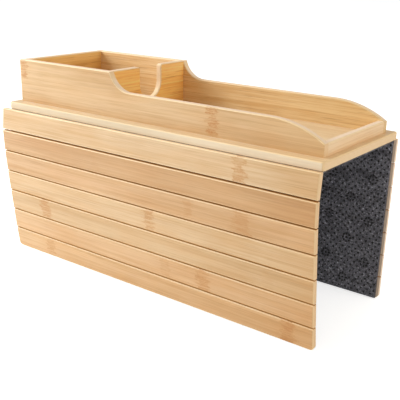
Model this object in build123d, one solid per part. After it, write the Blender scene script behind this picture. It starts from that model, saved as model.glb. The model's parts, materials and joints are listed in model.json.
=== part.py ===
from build123d import *
import math
import os

# Bamboo tray that hangs over a sofa arm: a walled tray on a board, with a slatted flap down each side.
# X runs along the arm, the mug end at -X and the open lip at +X. The near side is -Y, up is +Z.
# The origin is the centre of the felt's underside below the board, where the tray lies on the arm.

# Driving dimensions, in millimetres
board_length = 400.0
board_width = 153.0
board_thick = 8.0
end_margin = 7.0            # board left bare beyond the tray at each end
side_margin = 12.5          # board left bare beyond the tray at each side
wall_thick = 7.0
tall_height = 47.0          # walls around the mug bay, above the board
low_height = 28.0           # side walls along the open bay
lip_height = 12.0           # rail across the open end
mug_bay_length = 125.0      # clear length between the end wall and the divider
scoop_radius = 27.0         # hollow curve from the tall wall down to the low wall
arch_radius = 105.0         # round shoulder from the low wall down to the lip
notch_width = 34.0          # open slot in the divider for a mug handle
notch_floor = 12.0          # wood left under the slot
slat_length = 407.0         # the slats end level with the board at the lip and run past it at the mug end
slat_pitch = 24.5
slat_gap = 1.1
slat_thick = 4.8
slat_count = 7
felt_thick = 3.0
edge_gap = 0.4              # bare felt between the board's edge and the first slat

# Rounded edges
board_round = 1.6
board_foot_bevel = 0.4
board_corner = 2.5
wall_round = 1.4
notch_corner = 3.0
divider_bevel = 0.9
slat_round = 1.3
last_corner = 4.0           # lower corners of the bottom slat

# The felt is glued to the wood, so it folds on the glue line, and each strip is mitred to make room
swing_under_deg = 25.0      # how far the first slat swings in past the vertical
roll_deg = 45.0             # how far a slat rolls in from the one above
mitre_spare_deg = 1.0
felt_inset = 2.5            # at both ends, inside the board's
hem_inset = 0.5
felt_cut = 0.4              # between the strips, on the glue line

# Screws that hold the walls down, driven up through the board and covered by the felt
screw_shank = 3.0
screw_head = 5.6
screw_head_depth = 2.4
screw_length = 22.0
screw_clear = 0.1
screw_inset = 45.0          # from the tray's end to the nearest screw in a side wall
screws_per_side = 2

overrun = 1.0               # how far a cut runs past the faces it opens
near_enough = 0.05          # places this close count as the same when edges are picked

# How each slat hangs: degrees out from the vertical, from the top slat to the bottom one
near_hang_deg = (6.0, -2.3, -5.1, -5.8, -6.2, -6.3, -7.7)
far_hang_deg = (-2.0, -2.0, -2.0, -2.0, -2.0, -2.0, -2.0)

# Worked out from the dimensions above
tray_length = board_length - 2 * end_margin
tray_width = board_width - 2 * side_margin
inner_width = tray_width - 2 * wall_thick
tray_end = tray_length / 2
tray_side = tray_width / 2
board_top = felt_thick + board_thick
divider_back = -tray_end + wall_thick + mug_bay_length
divider_front = divider_back + wall_thick
fold_height = felt_thick
board_edge = board_width / 2
first_axis = board_edge + edge_gap / 2
board_mitre = felt_thick * math.tan(math.radians((90.0 + swing_under_deg) / 2 + mitre_spare_deg))
slat_mitre = felt_thick * math.tan(math.radians(roll_deg / 2 + mitre_spare_deg))
felt_length = board_length - 2 * felt_inset


def block(length, width, height, x_low, y_low, z_low):
    """A plain block from its lowest corner."""
    corner = (Align.MIN, Align.MIN, Align.MIN)
    return Pos(x_low, y_low, z_low) * Box(length, width, height, align=corner)


def screw_places():
    """Centres of the screws, under the middle of the walls that are tall enough for one."""
    places = []
    side_line = tray_side - wall_thick / 2
    span = tray_length - 2 * screw_inset
    for step in range(screws_per_side):
        x = -span / 2 + span * step / (screws_per_side - 1)
        places.append((x, -side_line))
        places.append((x, side_line))
    places.append((-tray_end + wall_thick / 2, 0))
    return places


def screw(x, y, clearance=0.0):
    """A countersunk screw, head down, or the hole that it fits when a clearance is given."""
    head_radius = screw_head / 2 + clearance
    shank_radius = screw_shank / 2 + clearance
    tip = felt_thick + screw_length + clearance
    foot = felt_thick
    with BuildPart() as body:
        with BuildSketch(Plane.XZ):
            with BuildLine():
                Polyline(
                    (0, foot),
                    (head_radius, foot),
                    (shank_radius, foot + screw_head_depth),
                    (shank_radius, tip),
                    (0, tip),
                    close=True,
                )
            make_face()
        revolve(axis=Axis.Z)
    return Pos(x, y, 0) * body.part


def all_screws(clearance=0.0):
    """Every screw, or every screw hole when a clearance is given."""
    return [screw(x, y, clearance) for x, y in screw_places()]


def drilled(solid):
    """The piece with the screw holes cut through it."""
    for hole in all_screws(screw_clear):
        solid = solid - hole
    return solid


def base_board():
    """The centre board, with a rounded rim and small rounds at its corners."""
    board = block(board_length, board_width, board_thick, -board_length / 2, -board_edge, felt_thick)
    board = fillet(board.edges().filter_by(Axis.Z), board_corner)
    board = fillet(board.faces().sort_by(Axis.Z)[-1].edges(), board_round)
    board = chamfer(board.faces().sort_by(Axis.Z)[0].edges(), board_foot_bevel)
    return drilled(board)


def side_profile():
    """Side wall outline: tall, scooped down, low, then an arched shoulder down to the lip."""
    low = board_top + low_height
    tall = board_top + tall_height
    lip = board_top + lip_height
    scoop_drop = tall_height - low_height
    scoop_run = (scoop_radius**2 - (scoop_radius - scoop_drop) ** 2) ** 0.5
    arch_drop = low_height - lip_height
    arch_run = (arch_radius**2 - (arch_radius - arch_drop) ** 2) ** 0.5
    scoop_start = (divider_front, tall)
    scoop_end = (divider_front + scoop_run, low)
    arch_start = (tray_end - arch_run, low)
    arch_end = (tray_end, lip)
    with BuildSketch(Plane.XZ) as outline:
        with BuildLine():
            Line((tray_end, board_top), (-tray_end, board_top))
            Line((-tray_end, board_top), (-tray_end, tall))
            Line((-tray_end, tall), scoop_start)
            RadiusArc(scoop_start, scoop_end, -scoop_radius)
            Line(scoop_end, arch_start)
            RadiusArc(arch_start, arch_end, arch_radius)
            Line(arch_end, (tray_end, board_top))
        make_face()
    return outline.sketch


def wall_rims(wall):
    """The long edges of a side wall's top, along both of its faces."""
    rims = []
    for edge in wall.edges():
        lifted = edge.center().Z > board_top + lip_height / 2
        along = edge.bounding_box().size.Y < wall_thick / 2 and edge.length > wall_thick
        upright = edge.bounding_box().size.X < wall_thick / 2
        if lifted and along and not upright:
            rims.append(edge)
    return rims


def side_wall(side):
    """One long side wall; side is -1 for the near wall and 1 for the far wall."""
    inner = side * (tray_side - wall_thick)
    outer = side * tray_side
    wall = extrude(side_profile(), amount=wall_thick)
    low_y = wall.bounding_box().min.Y
    wall = Pos(0, min(inner, outer) - low_y, 0) * wall
    wall = fillet(wall_rims(wall), wall_round)
    return drilled(wall)


def cross_wall(x_low, height):
    """A wall across the tray, butted between the side walls, with a rounded top."""
    wall = block(wall_thick, inner_width, height, x_low, -inner_width / 2, board_top)
    top_edges = wall.faces().sort_by(Axis.Z)[-1].edges().filter_by(Axis.Y)
    return fillet(top_edges, wall_round)


def end_wall():
    """The tall wall that closes the mug end."""
    return drilled(cross_wall(-tray_end, tall_height))


def front_lip():
    """The low rail across the open end."""
    return cross_wall(tray_end - wall_thick, lip_height)


def divider():
    """The wall between the bays, with a round-bottomed slot that is open at the top."""
    wall = block(wall_thick, inner_width, tall_height, divider_back, -inner_width / 2, board_top)
    radius = notch_width / 2
    centre = board_top + notch_floor + radius
    top = board_top + tall_height
    with BuildPart() as slot:
        with BuildSketch(Plane.YZ.offset(divider_back - overrun)):
            with BuildLine():
                Line((-radius, top + overrun), (-radius, centre))
                ThreePointArc((-radius, centre), (0, centre - radius), (radius, centre))
                Line((radius, centre), (radius, top + overrun))
                Line((radius, top + overrun), (-radius, top + overrun))
            make_face()
        extrude(amount=wall_thick + 2 * overrun)
    wall = wall - slot.part
    mouth = []
    for edge in wall.edges().filter_by(Axis.X):
        middle = edge.center()
        if abs(abs(middle.Y) - radius) < near_enough and middle.Z > top - near_enough:
            mouth.append(edge)
    wall = fillet(mouth, notch_corner)
    rims = []
    for edge in wall.edges():
        flat_in_x = edge.bounding_box().size.X < near_enough
        inside = abs(edge.center().Y) < inner_width / 2 - near_enough
        if flat_in_x and inside and edge.center().Z > board_top + near_enough:
            rims.append(edge)
    return chamfer(rims, divider_bevel)


def flat_slat(number):
    """A slat as it lies when the flap is spread flat beyond the board's far edge."""
    start = first_axis + slat_pitch * (number - 1)
    inner_start = start + slat_gap / 2
    if number == 1:
        inner_start = board_edge + edge_gap
    width = start + slat_pitch - slat_gap / 2 - inner_start
    mug_end = board_length / 2 - slat_length
    slat = block(slat_length, width, slat_thick, mug_end, inner_start, felt_thick)
    if number == slat_count:
        uprights = slat.edges().filter_by(Axis.Z).sort_by(Axis.Y)
        slat = fillet(uprights[2:], last_corner)
    return fillet(slat.faces().sort_by(Axis.Z)[-1].edges(), slat_round)


def felt_strip(top_start, top_end, foot_start, foot_end):
    """A strip of felt across the tray between two pairs of edges, along the wood and along the arm."""
    with BuildPart() as strip:
        with BuildSketch(Plane.YZ.offset(-felt_length / 2)):
            with BuildLine():
                Polyline(
                    (top_start, felt_thick),
                    (foot_start, 0),
                    (foot_end, 0),
                    (top_end, felt_thick),
                    close=True,
                )
            make_face()
        extrude(amount=felt_length)
    return strip.part


def flat_felt(number):
    """The felt behind a slat as it lies when the flap is spread flat."""
    axis = first_axis + slat_pitch * (number - 1)
    start = axis + felt_cut / 2
    start_mitre = slat_mitre
    if number == 1:
        start = board_edge + edge_gap
        start_mitre = board_mitre
    if number == slat_count:
        end = axis + slat_pitch - slat_gap / 2 - hem_inset
        return felt_strip(start, end, start + start_mitre, end)
    end = axis + slat_pitch - felt_cut / 2
    return felt_strip(start, end, start + start_mitre, end - slat_mitre)


def board_felt():
    """The felt under the board, flat on the arm and mitred at each side, where it turns down."""
    foot = board_edge - board_mitre
    return felt_strip(-board_edge, board_edge, -foot, foot)


def hung(piece, number, hang_deg):
    """A flap piece swung from flat to where it hangs, hinge by hinge, on the far side."""
    for hinge in range(number, 0, -1):
        axis_y = first_axis + slat_pitch * (hinge - 1)
        before = hang_deg[hinge - 2] if hinge > 1 else 90.0
        drop = before - hang_deg[hinge - 1]
        line = Axis((0, axis_y, fold_height), (1, 0, 0))
        piece = piece.rotate(line, -drop)
    return piece


def place_flap(piece, number, side):
    """The piece at rest on its own side of the tray."""
    hang_deg = far_hang_deg if side > 0 else near_hang_deg
    piece = hung(piece, number, hang_deg)
    if side < 0:
        piece = mirror(piece, about=Plane.XZ)
    return piece


def write(name, shape):
    """Write one piece, or a group of like pieces, under its own name."""
    shape.label = name
    export_step(shape, os.path.join("parts", name + ".step"))


def main():
    """Build every piece and write it."""
    os.makedirs("parts", exist_ok=True)
    write("base_board", base_board())
    write("near_side_wall", side_wall(-1))
    write("far_side_wall", side_wall(1))
    write("end_wall", end_wall())
    write("divider", divider())
    write("front_lip", front_lip())
    write("base_screws", Compound(children=all_screws()))
    write("board_felt", board_felt())
    for side, side_name in ((-1, "near"), (1, "far")):
        for number in range(1, slat_count + 1):
            slat = place_flap(flat_slat(number), number, side)
            write(f"{side_name}_slat_{number}", slat)
            felt = place_flap(flat_felt(number), number, side)
            write(f"{side_name}_felt_{number}", felt)


main()
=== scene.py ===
"""A bamboo tray for a sofa arm, with slatted flaps on a dotted felt lining.

Every length is in metres. X runs along the arm, the near flap is at -Y, and Z is up.
"""

import json
import math
import random
from collections import namedtuple
from functools import partial

import bpy
from mathutils import Matrix, Vector


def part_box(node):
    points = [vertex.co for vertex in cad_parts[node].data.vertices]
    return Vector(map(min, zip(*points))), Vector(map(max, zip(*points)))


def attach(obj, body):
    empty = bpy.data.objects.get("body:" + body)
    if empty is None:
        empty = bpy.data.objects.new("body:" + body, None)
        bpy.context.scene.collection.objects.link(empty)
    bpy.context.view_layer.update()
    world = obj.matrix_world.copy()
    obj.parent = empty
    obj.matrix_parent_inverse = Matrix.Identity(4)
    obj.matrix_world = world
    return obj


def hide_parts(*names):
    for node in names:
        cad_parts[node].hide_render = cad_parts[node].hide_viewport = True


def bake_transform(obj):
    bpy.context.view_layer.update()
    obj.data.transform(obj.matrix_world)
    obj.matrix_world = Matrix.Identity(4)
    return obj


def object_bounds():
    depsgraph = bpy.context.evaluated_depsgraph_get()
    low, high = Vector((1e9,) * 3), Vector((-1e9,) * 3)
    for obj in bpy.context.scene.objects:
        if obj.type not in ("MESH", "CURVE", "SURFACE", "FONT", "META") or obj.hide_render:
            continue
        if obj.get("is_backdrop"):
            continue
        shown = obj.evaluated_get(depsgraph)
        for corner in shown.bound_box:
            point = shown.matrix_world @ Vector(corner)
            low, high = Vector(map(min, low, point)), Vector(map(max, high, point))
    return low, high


bl_info = {
    "name": "Sofa arm tray",
    "version": (1, 0, 0),
    "blender": (4, 5, 0),
    "location": "View3D > Sidebar > Tray",
    "description": "Bamboo tray with roll-down slats on a dotted felt lining",
    "category": "Object",
}

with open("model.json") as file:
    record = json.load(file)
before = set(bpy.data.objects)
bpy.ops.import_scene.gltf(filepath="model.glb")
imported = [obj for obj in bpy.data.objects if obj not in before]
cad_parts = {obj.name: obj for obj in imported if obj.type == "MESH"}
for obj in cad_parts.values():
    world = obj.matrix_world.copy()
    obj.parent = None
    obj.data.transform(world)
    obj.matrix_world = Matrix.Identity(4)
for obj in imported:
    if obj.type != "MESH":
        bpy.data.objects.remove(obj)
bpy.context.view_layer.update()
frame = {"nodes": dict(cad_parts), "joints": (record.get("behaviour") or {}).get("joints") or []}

SLATS = 7
SIDES = (("near", -1), ("far", 1))
FOOT_CLEAR = 0.0008  # how far the felt's hem stays above the lowest slat's foot


def hinge_points(side):
    """The fold lines of one flap, behind its slats, as (distance out, height), and its foot."""
    places = {joint["name"]: joint["pos_m"] for joint in frame["joints"]}
    names = [f"{side}_flap_lift"]
    names += [f"{side}_fold_{number}" for number in range(2, SLATS + 1)]
    points = [Vector((abs(places[name][1]), places[name][2])) for name in names]
    low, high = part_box(f"{side}_slat_{SLATS}")
    inner = min(abs(low[1]), abs(high[1]))
    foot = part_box(f"{side}_felt_{SLATS}")[0][2]
    before, last = points[-2:]
    heading = Vector((inner - last.x, foot - last.y)).normalized()
    return points + [last + heading * ((last - before).length - FOOT_CLEAR)]


# Settings

def colour_setting(name, what, default):
    """A colour that a user may change."""
    description = f"Colour of {what}"
    return bpy.props.FloatVectorProperty(
        name=name, description=description, subtype="COLOR", default=default, min=0, max=1
    )


def length_setting(name, description, default):
    """A length that a user may change, from a quarter of its default to four times that."""
    return bpy.props.FloatProperty(
        name=name, description=description, subtype="DISTANCE", unit="LENGTH", default=default,
        min=default / 4, max=default * 4,
    )


def power_setting(name, which, default):
    """A lamp's power that a user may change."""
    description = f"Power of the {which}, in watts"
    return bpy.props.FloatProperty(
        name=name, description=description, unit="POWER", default=default, min=0, max=500
    )


class BambooSettings(bpy.types.PropertyGroup):
    """Colours and strip width of the bamboo."""

    pale: colour_setting("Pale wood", "the bamboo's pale stripes", (0.850, 0.583, 0.320))
    deep: colour_setting("Deep wood", "the darker fibres between them", (0.645, 0.364, 0.137))
    # rim is a painted highlight: the pale colour of every rounded edge, for the light that the
    # edges catch.
    rim: colour_setting("Edge highlight", "the rounded, sanded edges", (0.955, 0.735, 0.448))
    cut: colour_setting("Cut end", "the sawn ends of the fibres", (0.930, 0.700, 0.450))
    knuckle: colour_setting("Cane joint", "the cane joints' marks", (0.580, 0.265, 0.075))
    # side is partly painted sheen: the board's long sides are paler and greyer, for the light
    # that they reflect.
    side: colour_setting("Board side", "the board's long sides", (0.900, 0.775, 0.585))
    # edge is painted shade: the dark brown of the shaded gaps, on the slats' narrow faces and
    # lower roundings.
    edge: colour_setting("Slat edge", "the faces between two slats", (0.600, 0.295, 0.066))
    # back is raw wood and partly painted light: pale on the walls' tops, which face the light
    # from above, and on the far slats' backs, which lie in shade.
    back: colour_setting("Raw wood and painted light", "the slats' backs and walls' tops", (0.950, 0.755, 0.592))
    strip: length_setting("Strip width", "Width of the glued strips of a wall or board", 0.0205)


class FeltSettings(bpy.types.PropertyGroup):
    """Sizes and colours of the felt lining and its anti-slip dots."""

    thickness: length_setting("Felt thickness", "Thickness of the felt lining", 0.003)
    pinch: length_setting("Pinched thickness", "Thickness where it turns down", 0.0021)
    lift: length_setting("Glue line", "Thickness of the glue on the wood", 0.00015)
    bend: length_setting("Bend reach", "Felt thinned to each side of the board's edge", 0.005)
    fold: length_setting("Fold reach", "Felt that turns to each side of a hinge line", 0.0018)
    colour: colour_setting("Felt colour", "the felt", (0.312, 0.308, 0.352))
    # glue is partly painted shade: the felt's glued side, dark brown also for the shade seen in
    # the gaps between slats.
    glue: colour_setting("Glue colour", "the felt's glued side in gaps", (0.220, 0.102, 0.022))
    dot_colour: colour_setting("Dot colour", "the rubber dots", (0.009, 0.009, 0.010))
    dot: length_setting("Dot width", "Width of one anti-slip dot", 0.0026)
    dot_height: length_setting("Dot height", "How far a dot stands up from the felt", 0.0007)
    row: length_setting("Row spacing", "Distance between two rows of dots", 0.00375)
    step: length_setting("Dot spacing", "Distance between two dots of one row", 0.00725)
    rosette_step: length_setting("Rosette spacing", "From one rosette to the next", 0.045)
    rosette: length_setting("Rosette width", "Width of a rosette of petal-shaped dots", 0.0122)
    petals: bpy.props.IntProperty(
        name="Petals", description="Petals of one rosette", default=8, min=4, max=12
    )


class StudioSettings(bpy.types.PropertyGroup):
    """Light and floor of the studio."""

    key: power_setting("Key lamp", "large lamp at the mug end", 20.0)
    front: power_setting("Front lamp", "soft lamp at the front left", 5.0)
    side: power_setting("Side lamp", "soft lamp beyond the open end", 6.2)
    top: power_setting("Top lamp", "soft lamp overhead", 1.7)
    cool: colour_setting("Lamp colour", "the key and front lamps' light", (0.88, 0.94, 1.0))
    sky: colour_setting("Room light", "the even light from all round", (0.524, 0.497, 0.453))
    glow: bpy.props.FloatProperty(
        name="Floor glow", description="Light added to the floor for the camera, to whiten it",
        subtype="FACTOR", default=0.63, min=0, max=1,
    )
    floor: colour_setting("Floor colour", "the studio floor", (0.90, 0.90, 0.90))


# Shader helpers

VECTOR, COLOUR, VALUE = "NodeSocketVector", "NodeSocketColor", "NodeSocketFloat"
PALEST = 0.93  # no channel of a tinted wood goes above this


def join(source, target):
    """Feed a socket, or set it where a plain value is given."""
    if isinstance(source, bpy.types.NodeSocket):
        target.id_data.links.new(source, target)
    else:
        target.default_value = source


def new_node(tree, kind, *sources, **settings):
    """A new node with its settings made and its first inputs fed."""
    node = tree.nodes.new(kind)
    for key, value in settings.items():
        setattr(node, key, value)
    for source, socket in zip(sources, node.inputs):
        join(source, socket)
    return node


def feed(node, **sources):
    """Feed or set a node's inputs, by socket name with _ for spaces."""
    for key, source in sources.items():
        join(source, node.inputs[key.replace("_", " ")])


def tree_of(*sources):
    """The node tree of the first socket among the sources."""
    return next(s.id_data for s in sources if isinstance(s, bpy.types.NodeSocket))


def maths(operation, *values, clamp=False):
    """One Math node, whose value comes back."""
    tree = tree_of(*values)
    node = new_node(tree, "ShaderNodeMath", *values, operation=operation, use_clamp=clamp)
    return node.outputs[0]


plus = partial(maths, "ADD")
minus = partial(maths, "SUBTRACT")
times = partial(maths, "MULTIPLY")
scaled = partial(maths, "MULTIPLY_ADD")  # a value times a gain, plus a start


def ramp(value, *limits, eased=True):
    """The value moved from one range to another, or to 0 to 1."""
    node = new_node(value.id_data, "ShaderNodeMapRange", value, *limits)
    node.interpolation_type = "SMOOTHSTEP" if eased else "LINEAR"
    return node.outputs[0]


def split(vector):
    """The X, Y and Z of a vector."""
    return new_node(vector.id_data, "ShaderNodeSeparateXYZ", vector).outputs


def combined(*parts):
    """A vector of an X, and a Y and Z where they are given."""
    return new_node(tree_of(*parts), "ShaderNodeCombineXYZ", *parts).outputs[0]


def turned(vector):
    """The vector with its X and Y swapped, for pieces whose fibres run across the tray."""
    x, y, z = split(vector)
    return combined(y, x, z)


def mixed(share, first, second, mode="MIX"):
    """Two colours mixed by a share."""
    node = new_node(tree_of(share, first, second), "ShaderNodeMix", data_type="RGBA")
    node.blend_type = mode
    node.clamp_result = True
    join(share, node.inputs["Factor"])
    for name, value in (("A", first), ("B", second)):
        join(value, [s for s in node.inputs if s.name == name and s.type == "RGBA"][0])
    return [s for s in node.outputs if s.type == "RGBA"][0]


shaded = partial(mixed, mode="MULTIPLY")  # the first colour times the second, by a share


def stretched(place, scale, move):
    """Coordinates scaled per axis and moved."""
    node = new_node(place.id_data, "ShaderNodeMapping", vector_type="POINT")
    feed(node, Vector=place, Scale=scale, Location=move)
    return node.outputs[0]


def noise(place, field, move=(0.0, 0.0, 0.0)):
    """The value of one of the noise fields below."""
    scale, detail, roughness = field
    node = new_node(place.id_data, "ShaderNodeTexNoise", stretched(place, scale, move))
    feed(node, Scale=1.0, Detail=detail, Roughness=roughness)
    return node.outputs[0]


def new_group(name, vectors, colours, values, gives):
    """An empty shader node group, what it is given, and its output node. It takes vectors,
    colours, and values with their defaults, and gives (name, kind) pairs."""
    tree = bpy.data.node_groups.new(name, "ShaderNodeTree")
    new_socket = tree.interface.new_socket
    for socket in vectors:
        new_socket(socket, in_out="INPUT", socket_type=VECTOR)
    for socket in colours:
        new_socket(socket, in_out="INPUT", socket_type=COLOUR).default_value = (1, 1, 1, 1)
    for socket, default in values.items():
        new_socket(socket, in_out="INPUT", socket_type=VALUE).default_value = default
    for socket, kind in gives:
        new_socket(socket, in_out="OUTPUT", socket_type=kind)
    given = tree.nodes.new("NodeGroupInput").outputs
    return tree, given, tree.nodes.new("NodeGroupOutput")


def placed(name, maker, **sources):
    """The node group of that name, made the first time it is asked for, with its own values."""
    group = bpy.data.node_groups.get(name) or maker()
    node = new_node(tree_of(*sources.values()), "ShaderNodeGroup", node_tree=group)
    feed(node, **sources)
    return node.outputs


def opaque(colour):
    """A colour as four numbers."""
    return tuple(colour) + (1.0,)


def rgba(colour, gain=1.0):
    """A colour property as four numbers, made lighter or darker by gain."""
    return opaque(min(1.0, channel * gain) for channel in colour)


def tinted(colour, tint):
    """A colour property as four numbers, times a tint."""
    return opaque(min(PALEST, channel * share) for channel, share in zip(colour, tint))


def principled(name):
    """A new material, its Principled BSDF and its texture coordinates."""
    material = bpy.data.materials.new(name)
    material.use_nodes = True
    tree = material.node_tree
    shader = [n for n in tree.nodes if n.type == "BSDF_PRINCIPLED"][0]
    return material, shader, new_node(tree, "ShaderNodeTexCoord").outputs


def bumped(shader, height, strength, distance):
    """Feed the shader's normal from a height."""
    node = new_node(height.id_data, "ShaderNodeBump")
    feed(node, Strength=strength, Distance=distance, Height=height)
    feed(shader, Normal=node.outputs[0])


# Shared surface effects

# Noise fields as (scale along X, Y and Z, detail, roughness), with the fibres along X.
BANDS = ((2.2, 95, 95), 2, 0.55)
FIBRES = ((9, 640, 640), 3, 0.6)
HAIRS = ((45, 2300, 2300), 2, 0.7)
CLOUDS = ((9, 24, 24), 2, 0.5)
VEINS = ((16, 820, 820), 3, 0.7)
WARMTH = ((13, 70, 70), 2, 0.5)
RAGGED = ((90, 330, 330), 4, 0.7)
JOINT_LINES = ((55, 900, 900), 1, 0.5)
JOINT_SPECKS = ((700, 900, 900), 2, 0.6)
TANGLE = ((900, 900, 900), 5, 0.75)
FELT_ALONG = ((420, 2600, 2600), 2, 0.6)
FELT_ACROSS = ((2600, 520, 520), 2, 0.6)
FELT_PATCHES = ((120, 120, 120), 2, 0.5)
FELT_FLECKS = ((520, 520, 520), 3, 0.7)
RUBBER_PATCHES = ((260, 260, 260), 2, 0.5)
RUBBER_GRIT = ((1800, 1800, 1800), 2, 0.5)
TURNING_MARKS = ((600, 600, 4000), 3, 0.6)
FLOOR_PATCHES = ((3, 3, 3), 2, 0.5)

PORES_SCALE = (60, 1500, 1500)
SEED_MOVE = (3.7, 11.3, 7.9)  # how far one step of the seed moves the fields
SEED_STRIP = 0.37  # and the strips, as a share of a strip
GLUE_SEAM = (0.485, 0.5)  # where in half a strip its seam begins and ends
VEIN_TINT = (0.62, 0.47, 0.34, 1)
WARM_TINT = (1.0, 0.965, 0.915, 1)
ROUNDED = (0.992, 0.93)  # the largest part of the normal on a flat face and on a rounded edge
COAT = 0.3  # the clear coat of a planed face
ROUNDED_COAT = -0.22  # and what a rounded edge takes off it


def bamboo_grain_group():
    """Colour, gloss and relief of glued bamboo. Place has the fibres along its X."""
    tree, given, out = new_group(
        "bamboo grain",
        vectors=("Place", "Facing"),
        colours=("Pale", "Deep", "Rim", "Cut"),
        values={"Strip": 0.02, "Strip Contrast": 0.25, "Streaks": 0.6, "Veins": 0.3, "Seed": 0},
        gives=(("Colour", COLOUR), ("Roughness", VALUE), ("Coat", VALUE), ("Height", VALUE)),
    )
    place, seed, contrast = given["Place"], given["Seed"], given["Strip Contrast"]
    move = combined(*[times(seed, factor) for factor in SEED_MOVE])

    # Each glued strip has its own tone, and a dark seam to the next.
    _, y, z = split(place)
    across = maths("DIVIDE", plus(y, z), given["Strip"])
    across = plus(across, times(seed, SEED_STRIP))
    number = maths("FLOOR", across)
    within = minus(across, number)
    tone = new_node(tree, "ShaderNodeTexWhiteNoise", noise_dimensions="1D")
    feed(tone, W=plus(number, seed))
    tone = times(minus(tone.outputs["Value"], 0.5), contrast)
    seam = maths("ABSOLUTE", minus(within, 0.5))
    seam = times(ramp(seam, *GLUE_SEAM), contrast)

    # Streaks, seams and slow clouds darken the wood.
    bands = noise(place, BANDS, move)
    fibres = noise(place, FIBRES, move)
    hairs = noise(place, HAIRS, move)
    clouds = noise(place, CLOUDS, move)
    dark = times(ramp(bands, 0.36, 0.66), 0.40)
    dark = plus(dark, times(ramp(fibres, 0.38, 0.64), 0.44))
    dark = plus(dark, times(ramp(hairs, 0.46, 0.66), 0.22))
    dark = times(dark, given["Streaks"])
    dark = plus(dark, times(ramp(clouds, 0.3, 0.7, -0.5, 0.5), 0.38))
    dark = plus(dark, tone)
    dark = plus(dark, times(seam, 0.9), clamp=True)
    wood = mixed(dark, given["Pale"], given["Deep"])
    across_move = turned(move)
    veins = ramp(noise(place, VEINS, across_move), 0.54, 0.66)
    veins = times(veins, given["Veins"])
    wood = shaded(veins, wood, VEIN_TINT)
    warmth = ramp(noise(place, WARMTH, across_move), 0.44, 0.62)
    wood = shaded(warmth, wood, WARM_TINT)

    # Where no axis has most of the normal, the face is a rounded edge, and the rim colour paints
    # a highlight on it.
    facing = new_node(tree, "ShaderNodeVectorMath", given["Facing"], operation="ABSOLUTE")
    facing_x, facing_y, facing_z = split(facing.outputs[0])
    most = maths("MAXIMUM", maths("MAXIMUM", facing_x, facing_y), facing_z)
    rounded = ramp(most, *ROUNDED)
    wood = mixed(times(rounded, 0.85), wood, given["Rim"])

    # The cut ends show the pores.
    ends = stretched(place, PORES_SCALE, move)
    pores = new_node(tree, "ShaderNodeTexVoronoi", feature="F1")
    feed(pores, Vector=ends, Scale=1.0)
    pores = ramp(pores.outputs["Distance"], 0.18, 0.55)
    cut = mixed(scaled(pores, 0.40, 0.52), given["Deep"], given["Cut"])
    cut = mixed(times(bands, 0.5), cut, given["Pale"])
    is_cut = ramp(facing_x, 0.80, 0.97)
    gloss = scaled(is_cut, 0.2, scaled(fibres, 0.16, 0.36))
    height = minus(scaled(hairs, -0.4, times(fibres, -0.6)), times(seam, 1.2))
    feed(out, Colour=mixed(is_cut, wood, cut), Roughness=scaled(rounded, 0.25, gloss))
    feed(out, Coat=scaled(rounded, ROUNDED_COAT, COAT))
    feed(out, Height=scaled(times(pores, is_cut), 0.6, height))
    return tree


def cane_joint_group():
    """Mask of a cane joint's mark: a ragged smudge across a strip, with fine lines through it."""
    tree, given, out = new_group(
        "cane joint",
        vectors=("Place", "Centre"),
        colours=(),
        values={"Length": 0.008, "Width": 0.016, "Seed": 0},
        gives=(("Mask", VALUE),),
    )
    place = given["Place"]
    away = new_node(tree, "ShaderNodeVectorMath", place, given["Centre"])
    away.operation = "SUBTRACT"
    x, y, z = split(away.outputs[0])
    move = combined(given["Seed"])
    ragged = minus(noise(place, RAGGED, move), 0.5)
    along = scaled(ragged, 2.4, maths("DIVIDE", x, given["Length"]))
    along = maths("ABSOLUTE", along)
    side = maths("SQRT", plus(maths("POWER", y, 2.0), maths("POWER", z, 2.0)))
    side = scaled(ragged, 0.5, maths("DIVIDE", side, given["Width"]))
    lines = ramp(noise(place, JOINT_LINES, move), 0.43, 0.55)
    specks = noise(place, JOINT_SPECKS, move)
    inside = ramp(side, 0.62, 0.40)
    band = times(ramp(along, 0.62, 0.38), inside)
    rim = ramp(maths("ABSOLUTE", minus(along, 0.42)), 0.16, 0.03)
    rim = times(times(rim, inside), ramp(specks, 0.38, 0.60))
    mask = times(band, scaled(lines, 0.85, 0.25))
    mask = times(mask, ramp(specks, 0.30, 0.58, 0.45, 1.0))
    feed(out, Mask=scaled(rim, 0.28, mask, clamp=True))
    return tree


def needled_felt_group():
    """Shade and relief of needled felt: short tangled fibres in all directions."""
    tree, given, out = new_group(
        "needled felt",
        vectors=("Place", "Facing"),
        colours=("Colour", "Glue"),
        values={},
        gives=(("Colour", COLOUR), ("Height", VALUE)),
    )
    place = given["Place"]
    tangle = noise(place, TANGLE)
    fibre = maths("MAXIMUM", noise(place, FELT_ALONG), noise(place, FELT_ACROSS))
    patches = noise(place, FELT_PATCHES)
    flecks = noise(place, FELT_FLECKS)
    shade = scaled(ramp(fibre, 0.52, 0.74), 0.58, 0.15)
    shade = scaled(ramp(tangle, 0.40, 0.62), 0.55, shade)
    shade = scaled(ramp(patches, 0.35, 0.68), 0.20, shade)
    shade = scaled(ramp(flecks, 0.55, 0.70), 1.80, shade)

    # The cut ends are darker, painted shade for the wood that overhangs them, and the glued side
    # behind the slats has the glue colour, partly painted shade for the brown gaps between slats.
    facing_x, facing_y, _ = split(given["Facing"])
    is_cut = ramp(maths("ABSOLUTE", facing_x), 0.3, 0.9)
    shade = times(shade, scaled(is_cut, -0.6, 1.0))
    shade = new_node(tree, "ShaderNodeCombineColor", shade, shade, shade).outputs[0]
    cloth = shaded(1.0, given["Colour"], shade)
    _, y, _ = split(place)
    glued = ramp(times(maths("SIGN", y), facing_y), 0.5, 0.9)
    feed(out, Colour=mixed(glued, cloth, given["Glue"]))
    feed(out, Height=scaled(tangle, 0.7, times(fibre, 0.5)))
    return tree


# Materials

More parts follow.
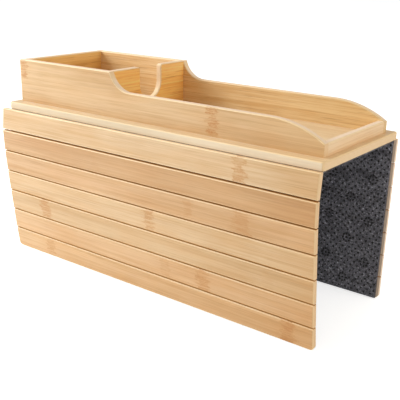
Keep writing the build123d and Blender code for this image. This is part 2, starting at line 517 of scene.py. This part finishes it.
STRIP_CONTRAST = 0.22  # how much the glued strips differ
RAW_ROUGHNESS = 0.5  # what a raw or sanded face adds to the roughness
COAT_ROUGHNESS = 0.3
FACES = (0.90, 0.98)  # how far a normal has to be along a face's direction to count as its own
OPEN_END = (1, 0, 0)
STEEL = ((0.50, 0.50, 0.48, 1), (0.68, 0.68, 0.66, 1))
# Strength and depth of each relief
BAMBOO_RELIEF = (0.35, 0.00012)
FELT_RELIEF = (0.6, 0.0004)
RUBBER_RELIEF = (0.15, 0.0001)


def bamboo_material(
    name, seed, tint, along="x", strips=True, streaks=0.8, veins=0.25, marks=(), faces=(),
    painted_shade_tint=None, shade_drift=None, fade=None,
):
    """Bamboo for one piece, in its own tint. marks are (centre, length, width, strength) of cane
    joints, and faces are (direction, colour, share) of the faces that get a colour over the
    grain, some of it painted light and some painted shade. warm is a painted shade tint of the
    face towards the open end, which lies away from the key lamp. drift is (from x, to x, tint) of
    painted shade, a slow darkening towards the open end, of all but those faces, and fade is a
    slow change of tint like it, for all of it."""
    look = bpy.context.scene.tray_bamboo
    material, shader, where = principled(name)
    place, facing = where["Object"], where["Normal"]
    if along == "y":
        place, facing = turned(place), turned(facing)
    grain = placed(
        "bamboo grain", bamboo_grain_group, Place=place, Facing=facing,
        Pale=tinted(look.pale, tint), Deep=tinted(look.deep, tint), Rim=rgba(look.rim),
        Cut=rgba(look.cut), Strip=look.strip, Strip_Contrast=STRIP_CONTRAST if strips else 0.0,
        Streaks=streaks, Veins=veins, Seed=float(seed),
    )
    colour, gloss, coat = grain["Colour"], grain["Roughness"], grain["Coat"]
    for number, (centre, length, width, strength) in enumerate(marks):
        mask = placed(
            "cane joint", cane_joint_group, Place=place, Centre=centre, Length=length,
            Width=width, Seed=float(seed * 3 + number),
        )["Mask"]
        colour = mixed(times(mask, strength), colour, rgba(look.knuckle))
    # Painted shade: the face towards the open end, away from the key lamp, takes a deeper, warmer
    # tint.
    if painted_shade_tint:
        painted_shade_colour = shaded(1.0, colour, opaque(painted_shade_tint))
        colour = mixed(facing_share(where, OPEN_END), colour, painted_shade_colour)
    # Painted shade: a slow darkening and warming towards the open end, away from the key lamp.
    if shade_drift:
        colour = drifted(where, colour, *shade_drift)
    for direction, face_colour, share in faces:
        raw = times(facing_share(where, direction), share)
        colour = mixed(raw, colour, rgba(face_colour))
        gloss = scaled(raw, RAW_ROUGHNESS, gloss, clamp=True)
        coat = scaled(raw, -COAT, coat, clamp=True)
    if fade:
        colour = drifted(where, colour, *fade)
    feed(shader, Base_Color=colour, Roughness=gloss)
    feed(shader, Coat_Weight=coat, Coat_Roughness=COAT_ROUGHNESS)
    bumped(shader, grain["Height"], *BAMBOO_RELIEF)
    return material


def drifted(where, colour, first, last, tint):
    """The colour, tinted more and more from one place along the tray to another."""
    share = ramp(split(where["Object"])[0], first, last, eased=False)
    return shaded(share, colour, opaque(tint))


def facing_share(where, direction):
    """1 on the faces that look in the direction, 0 on the others."""
    normal = where["Normal"]
    toward = new_node(normal.id_data, "ShaderNodeVectorMath", normal, direction)
    toward.operation = "DOT_PRODUCT"
    return ramp(toward.outputs["Value"], *FACES)


def felt_material():
    """Charcoal needled felt."""
    look = bpy.context.scene.tray_felt
    material, shader, where = principled("charcoal felt")
    felt = placed(
        "needled felt", needled_felt_group, Place=where["Object"], Facing=where["Normal"],
        Colour=rgba(look.colour), Glue=rgba(look.glue),
    )
    feed(shader, Base_Color=felt["Colour"], Roughness=0.95, Specular_IOR_Level=0.2)
    feed(shader, Sheen_Weight=0.12, Sheen_Roughness=0.5)
    bumped(shader, felt["Height"], *FELT_RELIEF)
    return material


def dot_material():
    """Glossy black rubber, a little uneven from dot to dot."""
    black = bpy.context.scene.tray_felt.dot_colour
    material, shader, where = principled("rubber dots")
    patches = noise(where["Object"], RUBBER_PATCHES)
    rubber = mixed(ramp(patches, 0.3, 0.7), rgba(black, 0.7), rgba(black, 1.6))
    gloss = ramp(patches, 0.3, 0.7, 0.16, 0.34)
    feed(shader, Base_Color=rubber, Roughness=gloss)
    bumped(shader, noise(where["Object"], RUBBER_GRIT), *RUBBER_RELIEF)
    return material


def screw_material():
    """Plain zinc-plated steel with fine turning marks."""
    material, shader, where = principled("zinc screws")
    marks = noise(where["Object"], TURNING_MARKS)
    steel = mixed(ramp(marks, 0.3, 0.7), *STEEL)
    gloss = ramp(marks, 0.3, 0.7, 0.24, 0.42)
    feed(shader, Base_Color=steel, Roughness=gloss, Metallic=1.0)
    return material


def dress(node_name, material):
    """Give a CAD node its material."""
    slots = frame["nodes"][node_name].data.materials
    if not slots:
        slots.append(material)
    for index in range(len(slots)):
        slots[index] = material


# Felt shapes

TURN_STEPS = 7  # cross-sections on each side of the board's edge
CORNER_CLEAR = 0.0004  # how near the glued side comes to the board's edge
BARE_REACH = 1.12  # where the turn ends on the bare side, as a share of the bend reach
BEFORE_FOLD = (-1.5, -1.0, -0.5, 0.0)  # cross-sections at a hinge, in fold reaches
AFTER_FOLD = (0.5, 1.0, 1.5)
BEND_SHARE = 0.45  # share of the bend reach that moves when a flap lifts
TURN_LEAD = 0.004  # flat felt before the bend that belongs to the piece that turns down
SAME_PLACE = 0.0001  # cross-sections nearer than this are one
CUT_ROUND = 0.0007  # rounding of the felt's cut edges
CUT_STEPS = (0.35, 0.7, 1.0)  # its points, as shares of the quarter turn
COLUMNS = 4

# A piece of the felt, from one distance to another along its half of the sheet: the bodies that
# it hangs between, the ends of its fold, the node that it replaces, and how it is held.
Span = namedtuple("Span", "name line start end bodies fold node held rests_on")


class SheetLine:
    """One half of the felt seen from the end, flat under the board, pinched where it turns down,
    and on behind the slats. Its stations are (distance from the tray's middle, glued point, bare
    point), with points as (distance out, height)."""

    def __init__(self, side, sign, look):
        self.side = side
        self.sign = sign
        self.look = look
        self.reach = look.bend
        hinges = hinge_points(side)
        corner = self.corner = hinges[0]
        down = self.down = (hinges[1] - corner).normalized()
        outward = Vector((-down.y, down.x))
        lift = look.lift
        under = (Vector((0.0, corner.y - lift)), Vector((0.0, corner.y - look.thickness)))
        self.stations = [(0.0, *under)]
        for step in range(TURN_STEPS + 1):
            back = self.reach * (1 - step / TURN_STEPS)
            bare, depth = self.bare_side(back)
            glued = Vector((corner.x - max(back, CORNER_CLEAR), corner.y - lift))
            bare = Vector((corner.x - bare, corner.y - depth))
            self.stations.append((corner.x - back, glued, bare))
        for step in range(1, TURN_STEPS + 1):
            on = self.reach * step / TURN_STEPS
            bare, depth = self.bare_side(on)
            glued = corner + down * max(on, CORNER_CLEAR) - outward * lift
            self.stations.append((corner.x + on, glued, corner + down * bare - outward * depth))
        self.hinge_at = [corner.x]
        length = corner.x
        for before, here, after in zip(hinges, hinges[1:], hinges[2:] + [None]):
            length += (here - before).length
            at_foot = after is None
            self.behind(length, here, here - before, (0.0,) if at_foot else BEFORE_FOLD)
            if not at_foot:
                self.behind(length, here, after - here, AFTER_FOLD)
            self.hinge_at.append(length)
        self.length = length

    def bare_side(self, off):
        """How far the bare side is from the corner, and the felt's depth, this far off it."""
        look = self.look
        depth = look.pinch + (look.thickness - look.pinch) * smooth(off / self.reach)
        away = look.pinch * math.tan(math.acos(self.down.x) / 2)
        return away + (self.reach * BARE_REACH - away) * off / self.reach, depth

    def behind(self, length, hinge, heading, shifts):
        """Add stations behind a slat, before or after a hinge line by so many fold reaches."""
        heading = heading.normalized()
        outward = Vector((-heading.y, heading.x))
        for shift in shifts:
            shift = shift * self.look.fold
            glued = hinge + heading * shift - outward * self.look.lift
            bare = hinge + heading * shift - outward * self.look.thickness
            self.stations.append((length + shift, glued, bare))

    def at(self, distance):
        """(glued point, bare point) at a distance along the sheet from the tray's middle."""
        stations = self.stations
        index = 0
        while index < len(stations) - 2 and stations[index + 1][0] < distance:
            index += 1
        (d0, g0, b0), (d1, g1, b1) = stations[index], stations[index + 1]
        share = (distance - d0) / (d1 - d0)
        return g0.lerp(g1, share), b0.lerp(b1, share)

    def place(self, x, distance, depth):
        """A point in the tray's frame, at a share of the depth from the glued face to the bare
        one."""
        glued, bare = self.at(distance)
        spot = glued.lerp(bare, depth)
        return Vector((x, self.sign * spot.x, spot.y))

    def between(self, start, end):
        """Distances at which the felt's cross-section is set between two ends."""
        first, last = start + SAME_PLACE, end - SAME_PLACE
        inside = [station[0] for station in self.stations if first < station[0] < last]
        return [start] + inside + [end]

    def fold_ends(self, number):
        """Where the felt begins and ends its turn at a hinge, in the tray's frame."""
        if number == 1:
            start = self.corner - Vector((self.reach * BEND_SHARE, 0.0))
            end = self.corner + self.down * self.reach * BEND_SHARE
        else:
            hinge = self.hinge_at[number - 1]
            start = self.at(hinge - self.look.fold)[0]
            end = self.at(hinge + self.look.fold)[0]
        return [Vector((0.0, self.sign * spot.x, spot.y)) for spot in (start, end)]

    def turn_start(self):
        """Where the flat felt under the board ends and the piece that turns down begins."""
        return self.corner.x - self.reach - TURN_LEAD


def smooth(share):
    """A share from 0 to 1, eased at both ends."""
    share = max(0.0, min(1.0, share))
    return share * share * (3 - 2 * share)


def sheet_lines():
    """The two halves of the felt, by sign."""
    look = bpy.context.scene.tray_felt
    return {sign: SheetLine(side, sign, look) for side, sign in SIDES}


def felt_half_length():
    """Half the felt's length along the arm, from the frame."""
    low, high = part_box("board_felt")
    return (high[0] - low[0]) / 2


def sheet_spans(lines):
    """The felt's pieces: the flat one under the board, and then those of each flap."""
    edge = lines[1].turn_start()
    under = ("felt_under_board", lines[1], -edge, edge, ["tray"], None, "board_felt", "laid")
    spans = [Span(*under, "base_board")]
    for line in lines.values():
        side = line.side
        bodies = ["tray"] + [f"{side}_flap_{number}" for number in range(1, SLATS + 1)]
        carriers = ["base_board"] + [f"{side}_slat_{number}" for number in range(1, SLATS + 1)]
        start = line.turn_start()
        for number in range(1, SLATS + 1):
            name = f"{side}_felt_bend" if number == 1 else f"{side}_felt_fold_{number}"
            end = (line.hinge_at[number - 1] + line.hinge_at[number]) / 2
            joined = bodies[number - 1 : number + 1]
            fold, node = line.fold_ends(number), f"{side}_felt_{number}"
            upper = carriers[number - 1]
            spans.append(Span(name, line, start, end, joined, fold, node, "hung", upper))
            start = end
        hem = (f"{side}_felt_hem", line, start, line.length, bodies[-1:], None, None, "hung")
        spans.append(Span(*hem, carriers[-1]))
    return spans


def hang(piece, span, material):
    """Material and slot of one piece of the felt, or of the dots on it, and the one body it rides
    on when it has no fold; a folding piece is left in the tray's frame.
    """
    piece.data.materials.append(material)
    if span.fold:
        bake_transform(piece)
    else:
        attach(piece, span.bodies[0])


def cross_section(half_length, thickness):
    """The felt's outline from one cut end to the other, as (x, share of the depth), with soft
    cut edges."""
    share = CUT_ROUND / thickness
    glued = []
    for column in range(COLUMNS + 1):
        across = (2 * half_length - 2 * CUT_ROUND) * column / COLUMNS
        glued.append((-half_length + CUT_ROUND + across, 0.0))
    rim = []
    for step in CUT_STEPS:
        angle = step * math.pi / 2
        x = half_length - CUT_ROUND + CUT_ROUND * math.sin(angle)
        rim.append((x, share * (1 - math.cos(angle))))
    rim = rim + [(x, 1.0 - depth) for x, depth in reversed(rim)]
    bare = [(-x, 1.0) for x, _ in glued]
    other = [(-x, 1.0 - depth) for x, depth in rim]
    return glued + rim + bare + other


def felt_piece(span, lines, half_length, thickness):
    """The felt of one span. One that starts before the tray's middle lies on both halves."""
    outline = cross_section(half_length, thickness)
    line, other = span.line, lines[-1]
    rows = [(line, distance) for distance in line.between(max(span.start, 0.0), span.end)]
    if span.start < 0:
        before = [(other, distance) for distance in other.between(0.0, span.end)]
        rows = before[:0:-1] + rows
    vertices = []
    for owner, distance in rows:
        vertices += [owner.place(x, distance, depth) for x, depth in outline]
    count = len(outline)
    faces = []
    for row in range(len(rows) - 1):
        for column in range(count):
            right = (column + 1) % count
            a, b = row * count + column, row * count + right
            faces.append((a, b, b + count, a + count))
    faces.append(tuple(reversed(range(count))))
    last = (len(rows) - 1) * count
    faces.append(tuple(last + column for column in range(count)))
    if line.sign < 0:
        faces = [tuple(reversed(face)) for face in faces]
    piece = new_mesh(span.name, vertices, faces)
    for cap in piece.data.polygons[-2:]:
        cap.use_smooth = False
    return piece


def new_mesh(name, vertices, faces, rounded=True):
    """A mesh object of that name in the scene."""
    mesh = bpy.data.meshes.new(name)
    mesh.from_pydata([tuple(v) for v in vertices], [], faces)
    mesh.validate()
    mesh.update()
    if rounded:
        mesh.shade_smooth()
    piece = bpy.data.objects.new(name, mesh)
    bpy.context.scene.collection.objects.link(piece)
    return piece


# Dots

DOT_SIDES = 6
DOT_SINK = 0.00025  # how far a dot stands in the felt
DOT_SHOULDER = (0.86, 0.55)  # its shoulder, as a share of its width and of its height
DOT_SPREAD = (0.94, 1.06)  # how much the dots' widths differ
DOT_HEIGHTS = (0.85, 1.15)  # and their heights
FIRST_ROSETTE = (0.1815, 0.1662)  # (x, distance) of the rosette that the grid starts from
ROSETTE_CLEAR = 0.0012  # bare felt round a rosette
ROSETTE_DOT = 0.95  # width of its middle dot, as a share of a plain one
PETAL = (0.30, 0.19)  # length and width of a petal, as shares of the rosette
CUT_CLEAR = 0.0004  # how far a petal's middle stays inside the felt's cut end
CUT_PAST = 0.0002  # and how far a plain dot's may lie past it
BEND_CLEAR = 0.0006  # bare felt on each side of the bend
HEM_CLEAR = 0.0005  # bare felt at the hem


def dot_shape(length, width, height):
    """One rubber dot as (vertices, faces), standing on z 0 and sunk a little into the felt."""
    vertices = []
    for share, level in ((1.0, -DOT_SINK), (DOT_SHOULDER[0], height * DOT_SHOULDER[1])):
        for side in range(DOT_SIDES):
            angle = 2 * math.pi * side / DOT_SIDES
            x = share * length / 2 * math.cos(angle)
            vertices.append((x, share * width / 2 * math.sin(angle), level))
    vertices.append((0.0, 0.0, height))
    faces = [tuple(reversed(range(DOT_SIDES)))]
    for side in range(DOT_SIDES):
        after = (side + 1) % DOT_SIDES
        faces.append((side, after, after + DOT_SIDES, side + DOT_SIDES))
        faces.append((side + DOT_SIDES, after + DOT_SIDES, 2 * DOT_SIDES))
    return vertices, faces


def rosette_places(look, half_length):
    """(x, distance) of the rosettes, in staggered rows over more than the whole sheet."""
    half_step = look.rosette_step / 2
    places = []
    for column in range(-20, 20):
        for row in range(-30, 30):
            x = FIRST_ROSETTE[0] + column * half_step
            if (column + row) % 2 == 0 and abs(x) < half_length + look.rosette / 2:
                places.append((x, FIRST_ROSETTE[1] + row * half_step))
    return places


def dot_places(look, half_length, low, high):
    """Where the rubber sits on the flat sheet: (x, distance, turn, length, width), between two
    distances. Plain dots fill it in staggered rows, and leave room for the rosettes."""
    rosettes = rosette_places(look, half_length)
    places = []
    clear = look.rosette / 2 + ROSETTE_CLEAR
    count = int(half_length / look.step) + 1
    for row in range(math.floor(low / look.row) - 1, math.ceil(high / look.row) + 1):
        distance = row * look.row
        shift = look.step / 2 if row % 2 else 0.0
        for column in range(-count, count + 1):
            x = column * look.step + shift
            if abs(x) > half_length + CUT_PAST or not low <= distance < high:
                continue
            if any((x - rx) ** 2 + (distance - rd) ** 2 < clear * clear for rx, rd in rosettes):
                continue
            places.append((x, distance, 0.0, look.dot, look.dot))
    petal_length, petal_width = (look.rosette * share for share in PETAL)
    out = look.rosette / 2 - petal_length / 2
    for rx, rd in rosettes:
        if low <= rd < high and abs(rx) < half_length:
            places.append((rx, rd, 0.0, look.dot * ROSETTE_DOT, look.dot * ROSETTE_DOT))
        for petal in range(look.petals):
            angle = 2 * math.pi * petal / look.petals
            x, distance = rx + out * math.cos(angle), rd + out * math.sin(angle)
            if low <= distance < high and abs(x) < half_length - CUT_CLEAR:
                places.append((x, distance, angle, petal_length, petal_width))
    return places


def dots_piece(span, lines, half_length, look):
    """The rubber dots on one piece of felt."""
    name = span.name.replace("felt", "dots")
    low, high = span.start, span.end
    if span.line.sign < 0:
        low, high = -high, -low
    vertices = []
    faces = []
    chooser = random.Random(name)
    across = Vector((1.0, 0.0, 0.0))
    for x, distance, turn, length, width in dot_places(look, half_length, low, high):
        line = lines[1 if distance >= 0 else -1]
        along = abs(distance)
        at_bend = abs(along - line.corner.x) < line.reach + BEND_CLEAR
        if at_bend or along > line.length - HEM_CLEAR:
            continue
        size = chooser.uniform(*DOT_SPREAD)
        height = look.dot_height * chooser.uniform(*DOT_HEIGHTS)
        shape, shape_faces = dot_shape(length * size, width * size, height)
        foot = line.place(x, along, 1.0)
        rise = (foot - line.place(x, along, 0.0)).normalized()
        onward = rise.cross(across)
        first = len(vertices)
        cos_turn, sin_turn = math.cos(turn), math.sin(turn)
        for u, v, w in shape:
            a, b = u * cos_turn - v * sin_turn, u * sin_turn + v * cos_turn
            vertices.append(foot + across * a + onward * b + rise * w)
        faces.extend(tuple(first + index for index in face) for face in shape_faces)
    return new_mesh(name, vertices, faces)


# Studio

FLOOR_REACH = 6.0
FLOOR_CLEAR = 0.0002
LAMP_TARGET = Vector((0.0, 0.0, -0.05))
# Lamps as (setting, place, size, colour), where None is the lamps' colour of the settings.
LAMPS = (
    ("key", (-1.2, -0.4, 0.6), 0.8, None),
    ("front", (-1.0, -0.9, 0.5), 0.8, None),
    ("side", (1.5, 0.3, 0.35), 1.0, (1.0, 0.97, 0.92)),
    ("top", (0.0, 0.25, 1.45), 1.2, (1.0, 1.0, 1.0)),
)
CAMERA_ANGLES = (36.798, 18.38, 1.133)  # azimuth, elevation and roll in degrees
CAMERA_PLACE = (0.45738, -0.58800, 0.16454)
CAMERA_LENS = 64.08
CAMERA_SHIFT = (-0.0026, -0.0014)
CAMERA_CLIP = (0.02, 30.0)


def floor_material(look):
    """Pale floor that keeps a soft shadow, white to the camera where the light is full, and
    clear from below."""
    material, shader, where = principled("studio floor")
    patches = noise(where["Object"], FLOOR_PATCHES)
    tone = mixed(patches, rgba(look.floor, 0.995), rgba(look.floor))
    feed(shader, Base_Color=tone, Roughness=0.9, Specular_IOR_Level=0.1)
    tree = shader.id_data
    plain = shader.outputs[0]
    glow = new_node(tree, "ShaderNodeEmission")
    feed(glow, Strength=look.glow)
    bright = new_node(tree, "ShaderNodeAddShader", plain, glow.outputs[0]).outputs[0]
    is_camera = new_node(tree, "ShaderNodeLightPath").outputs["Is Camera Ray"]
    lit = new_node(tree, "ShaderNodeMixShader", is_camera, plain, bright).outputs[0]
    clear = new_node(tree, "ShaderNodeBsdfTransparent").outputs[0]
    behind = new_node(tree, "ShaderNodeNewGeometry").outputs["Backfacing"]
    whole = new_node(tree, "ShaderNodeMixShader", behind, lit, clear).outputs[0]
    end = [n for n in tree.nodes if n.type == "OUTPUT_MATERIAL"][0]
    feed(end, Surface=whole)
    return material


def area_lamp(name, place, size, power, colour):
    """A square soft lamp that points at the tray."""
    data = bpy.data.lights.new(name, "AREA")
    data.shape = "SQUARE"
    data.size = size
    data.energy = power
    data.color = colour
    lamp = bpy.data.objects.new(name, data)
    lamp.location = place
    lamp.rotation_euler = (LAMP_TARGET - Vector(place)).to_track_quat("-Z", "Y").to_euler()
    bpy.context.scene.collection.objects.link(lamp)


def sky_light(look):
    """Even light from all round, which the camera and clear things see as white."""
    world = bpy.data.worlds.new("studio")
    bpy.context.scene.world = world
    world.use_nodes = True
    tree = world.node_tree
    background = [n for n in tree.nodes if n.type == "BACKGROUND"][0]
    path = new_node(tree, "ShaderNodeLightPath").outputs
    seen = maths("MAXIMUM", path["Is Camera Ray"], path["Is Transmission Ray"])
    feed(background, Color=mixed(seen, opaque(look.sky), (1, 1, 1, 1)))


def photo_camera():
    """The camera, where the photograph was taken from."""
    azimuth, elevation, roll = (math.radians(angle) for angle in CAMERA_ANGLES)
    back = Vector((
        math.sin(azimuth) * math.cos(elevation),
        -math.cos(azimuth) * math.cos(elevation),
        math.sin(elevation),
    ))
    level = Vector((math.cos(azimuth), math.sin(azimuth), 0.0))
    up = back.cross(level)
    right = math.cos(roll) * level + math.sin(roll) * up
    up = math.cos(roll) * up - math.sin(roll) * level
    data = bpy.data.cameras.new("photo camera")
    data.lens = CAMERA_LENS
    data.shift_x, data.shift_y = CAMERA_SHIFT
    data.clip_start, data.clip_end = CAMERA_CLIP
    camera = bpy.data.objects.new("photo_camera", data)
    turn = Matrix((right, up, back)).transposed().to_4x4()
    camera.matrix_world = Matrix.Translation(CAMERA_PLACE) @ turn
    bpy.context.scene.collection.objects.link(camera)
    bpy.context.scene.camera = camera


# Operators

class TRAY_OT_studio(bpy.types.Operator):
    """Set up the floor, the light and the camera"""

    bl_idname = "tray.studio"
    bl_label = "Studio"

    def execute(self, context):
        look = context.scene.tray_studio
        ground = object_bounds()[0][2] - FLOOR_CLEAR
        signs = ((-1, -1), (1, -1), (1, 1), (-1, 1))
        corners = [(FLOOR_REACH * x, FLOOR_REACH * y, ground) for x, y in signs]
        floor = new_mesh("studio_floor", corners, [(0, 1, 2, 3)], rounded=False)
        floor.data.materials.append(floor_material(look))
        floor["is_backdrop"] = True
        for setting, place, size, colour in LAMPS:
            power = getattr(look, setting)
            area_lamp(f"{setting}_lamp", place, size, power, colour or look.cool)
        sky_light(look)
        photo_camera()
        context.scene.view_settings.view_transform = "Standard"
        return {"FINISHED"}


class TRAY_OT_walls(bpy.types.Operator):
    """Finish the board, the walls, the divider and the lip in bamboo"""

    bl_idname = "tray.walls"
    bl_label = "Board and walls"

    def execute(self, context):
        look = context.scene.tray_bamboo
        near_marks = (
            ((0.076, -0.064, 0.026), 0.012, 0.026, 1.0),
            ((-0.1865, -0.064, 0.047), 0.010, 0.018, 0.95),
        )
        # The board's long sides are paler and greyer, partly a painted sheen.
        sides = [((0, y, 0), look.side, 0.7) for y in (-1, 1)]
        # The raw wood on the tops is partly painted light, as they face the light from above.
        top = [((0, 0, 1), look.back, 0.65)]
        tops = top + [((0.57, 0, 0.82), look.back, 0.7)]
        across = dict(along="y", streaks=1.15, veins=0.7, faces=top)
        looks = {
            # drift is painted shade, darker and warmer towards the open end; the board's fade
            # makes it darker towards the mug end.
            "base_board": ("board", 3, (1.03, 1.16, 1.36), dict(
                faces=sides, shade_drift=(0.12, 0.20, (0.97, 0.92, 0.83)),
                fade=(0.09, -0.03, (0.87, 0.86, 0.83)),
            )),
            "near_side_wall": ("near wall", 8, (0.89, 0.87, 0.82), dict(
                marks=near_marks, faces=tops, shade_drift=(0.11, 0.19, (0.98, 0.93, 0.82)),
            )),
            "far_side_wall": ("far wall", 14, (1.13, 1.20, 1.24), dict(
                streaks=1.1, veins=0.6, faces=tops, shade_drift=(-0.03, 0.19, (0.85, 0.78, 0.62)),
            )),
            # warm paints shade on the end wall's and divider's faces towards the open end.
            "end_wall": ("end wall", 21, (0.98, 0.96, 0.90), dict(
                painted_shade_tint=(1.16, 1.10, 0.74), **across,
            )),
            "divider": ("divider", 27, (1.00, 1.00, 0.98), dict(
                painted_shade_tint=(1.45, 1.30, 0.80), **across,
            )),
            "front_lip": ("lip", 31, (1.12, 1.18, 1.32), dict(along="y", faces=top)),
        }
        for node, (piece, seed, tint, rest) in looks.items():
            dress(node, bamboo_material(f"bamboo {piece}", seed, tint, **rest))
        return {"FINISHED"}


# Each slat as (tint, cane joints), and each joint as (x, length, width, strength).
SLAT_LOOKS = {
    "near": (
        ((0.97, 1.02, 1.12), ((0.12, 0.012, 0.024, 0.75),)),
        ((0.83, 0.74, 0.65), ((-0.06, 0.01, 0.02, 0.15),)),
        ((0.93, 0.88, 0.86), ((0.063, 0.01, 0.016, 0.45), (0.124, 0.016, 0.022, 0.62))),
        ((0.97, 1.0, 1.05), ((0.012, 0.011, 0.024, 0.72),)),
        ((0.9, 0.9, 0.89), ((-0.147, 0.013, 0.024, 0.9), (0.15, 0.01, 0.02, 0.15))),
        ((0.95, 0.9, 0.87), ((0.029, 0.01, 0.018, 0.45), (0.077, 0.013, 0.024, 0.85))),
        ((0.97, 0.94, 0.91), ((-0.147, 0.012, 0.02, 0.65), (0.173, 0.014, 0.026, 0.88))),
    ),
    "far": (
        ((0.93, 0.93, 0.94), ((-0.06, 0.009, 0.018, 0.5),)),
        ((0.88, 0.82, 0.76), ()),
        ((0.92, 0.91, 0.92), ((0.13, 0.008, 0.018, 0.45),)),
        ((0.89, 0.84, 0.79), ((-0.15, 0.008, 0.016, 0.4),)),
        ((0.95, 0.96, 0.99), ()),
        ((0.88, 0.83, 0.78), ((0.02, 0.009, 0.018, 0.5),)),
        ((0.92, 0.9, 0.88), ((-0.09, 0.008, 0.016, 0.4),)),
    ),
}
SLAT_SEEDS = {"near": 40, "far": 60}
# Painted shade along the near slats: darker and warmer towards the open end, away from the key
# lamp.
SLAT_SHADE_DRIFT = {"near": (0.145, 0.195, (0.97, 0.91, 0.82)), "far": None}
GAP_SHADE_SHARE = 0.85  # how much painted gap shade a slat's narrow face has
FIRST_GAP_SHADE_SHARE = 0.6  # and at the first gap
RAW_SHARE = 0.9
SHADED_SLOPES = {2: 0.62, 3: 0.62, 4: 0.78, 5: 0.78, 6: 0.78}  # outward lean of a lower rounding, which gets painted gap shade


def slat_faces(look, number, sign):
    """The faces of one slat that get a colour over the grain: painted gap shade on the narrow
    faces and lower roundings, and raw wood on the back, where it also lifts the far flap's shade
    as painted light, and on the far flap's open end.
    """
    lower = FIRST_GAP_SHADE_SHARE if number == 1 else GAP_SHADE_SHARE
    faces = [((0, 0, -1), look.edge, lower), ((0, -sign, 0), look.back, RAW_SHARE)]
    if number > 1:
        upper = FIRST_GAP_SHADE_SHARE if number == 2 else GAP_SHADE_SHARE
        faces.append(((0, 0, 1), look.edge, upper))
    if number in SHADED_SLOPES:
        slope = SHADED_SLOPES[number]
        direction = (0, slope * sign, -math.sqrt(1 - slope**2))
        faces.append((direction, look.edge, RAW_SHARE))
    if sign > 0:
        faces.append((OPEN_END, look.back, RAW_SHARE))
    return faces


class TRAY_OT_slats(bpy.types.Operator):
    """Finish every slat in bamboo of its own tone, with its own cane joints"""

    bl_idname = "tray.slats"
    bl_label = "Slats"

    def execute(self, context):
        look = context.scene.tray_bamboo
        for side, sign in SIDES:
            for number, (tint, joints) in enumerate(SLAT_LOOKS[side], start=1):
                node = f"{side}_slat_{number}"
                _, y, z = [(a + b) / 2 for a, b in zip(*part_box(node))]
                material = bamboo_material(
                    f"bamboo {side} slat {number}",
                    SLAT_SEEDS[side] + number,
                    tint,
                    strips=False,
                    marks=[((x, y, z), *joint) for x, *joint in joints],
                    faces=slat_faces(look, number, sign),
                    shade_drift=SLAT_SHADE_DRIFT[side],
                )
                dress(node, material)
        return {"FINISHED"}


class TRAY_OT_screws(bpy.types.Operator):
    """Finish the screws under the board in plain zinc"""

    bl_idname = "tray.screws"
    bl_label = "Screws"

    def execute(self, context):
        dress("base_screws", screw_material())
        return {"FINISHED"}


class TRAY_OT_felt(bpy.types.Operator):
    """Lay the felt under the board and down both flaps"""

    bl_idname = "tray.felt"
    bl_label = "Felt lining"

    def execute(self, context):
        look = context.scene.tray_felt
        lines = sheet_lines()
        half_length = felt_half_length()
        material = felt_material()
        for span in sheet_spans(lines):
            piece = felt_piece(span, lines, half_length, look.thickness)
            hang(piece, span, material)
            if span.node:
                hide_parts(span.node)
        return {"FINISHED"}


class TRAY_OT_dots(bpy.types.Operator):
    """Set the anti-slip dots and rosettes on the felt"""

    bl_idname = "tray.dots"
    bl_label = "Anti-slip dots"

    def execute(self, context):
        look = context.scene.tray_felt
        lines = sheet_lines()
        half_length = felt_half_length()
        material = dot_material()
        for span in sheet_spans(lines):
            hang(dots_piece(span, lines, half_length, look), span, material)
        return {"FINISHED"}


class TRAY_PT_panel(bpy.types.Panel):
    """The tray's pieces and settings"""

    bl_idname = "TRAY_PT_panel"
    bl_label = "Sofa arm tray"
    bl_space_type = "VIEW_3D"
    bl_region_type = "UI"
    bl_category = "Tray"

    def draw(self, context):
        layout = self.layout
        for operator in OPERATORS:
            layout.operator(operator.bl_idname)
        for name in SETTINGS:
            box = layout.box()
            group = getattr(context.scene, name)
            for key in group.bl_rna.properties.keys():
                if key not in ("rna_type", "name"):
                    box.prop(group, key)


SETTINGS = {
    "tray_bamboo": BambooSettings,
    "tray_felt": FeltSettings,
    "tray_studio": StudioSettings,
}
OPERATORS = (
    TRAY_OT_studio, TRAY_OT_walls, TRAY_OT_slats, TRAY_OT_screws, TRAY_OT_felt, TRAY_OT_dots
)
CLASSES = (*SETTINGS.values(), *OPERATORS, TRAY_PT_panel)


def register():
    """Register the settings, the operators and the panel."""
    for kind in CLASSES:
        bpy.utils.register_class(kind)
    for name, group in SETTINGS.items():
        setattr(bpy.types.Scene, name, bpy.props.PointerProperty(type=group))


def unregister():
    """Take the panel, the operators and the settings away again."""
    for name in SETTINGS:
        delattr(bpy.types.Scene, name)
    for kind in reversed(CLASSES):
        bpy.utils.unregister_class(kind)


def main():
    """Make the whole tray and its studio."""
    register()
    bpy.ops.tray.studio()
    bpy.ops.tray.walls()
    bpy.ops.tray.slats()
    bpy.ops.tray.screws()
    bpy.ops.tray.felt()
    bpy.ops.tray.dots()


if __name__ == "__main__":
    main()
